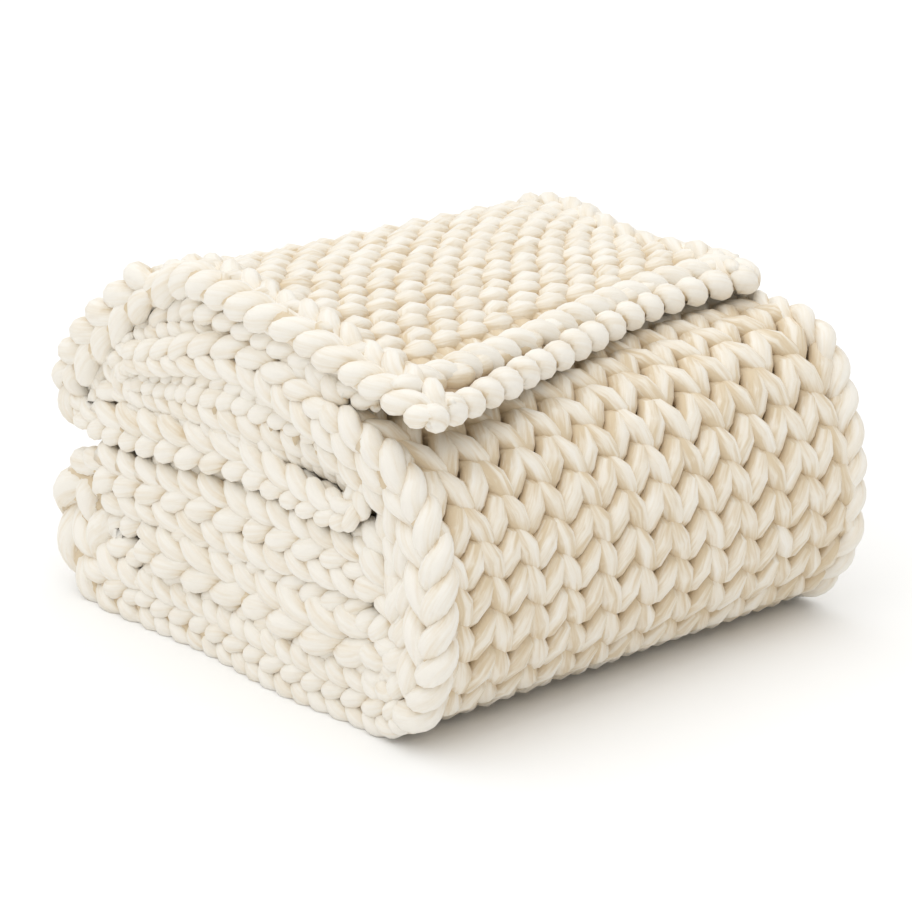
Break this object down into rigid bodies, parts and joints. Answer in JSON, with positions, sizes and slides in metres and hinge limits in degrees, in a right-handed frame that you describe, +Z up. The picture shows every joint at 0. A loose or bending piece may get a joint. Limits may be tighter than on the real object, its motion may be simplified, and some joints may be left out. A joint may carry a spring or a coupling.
{
  "type": "folded chunky knit blanket",
  "caption": "Chunky knit throw blanket in thick soft yarn, folded back and forth into a loose stack with its last flap lying open on top.",
  "frame": {"origin": "bottom centre of the stack's box, on the surface it rests on", "axes": "+Z up; X along the fold lines, from one selvage end of the stack to the other; -Y towards the single tall front fold, +Y towards the two rear folds"},
  "size_m": [0.4728, 0.5104, 0.3302],
  "materials": {
    "wool": "matte ivory roving yarn"
  },
  "bodies": {
    "root": {"knit_blanket": "wool"}
  },
  "joints": []
}
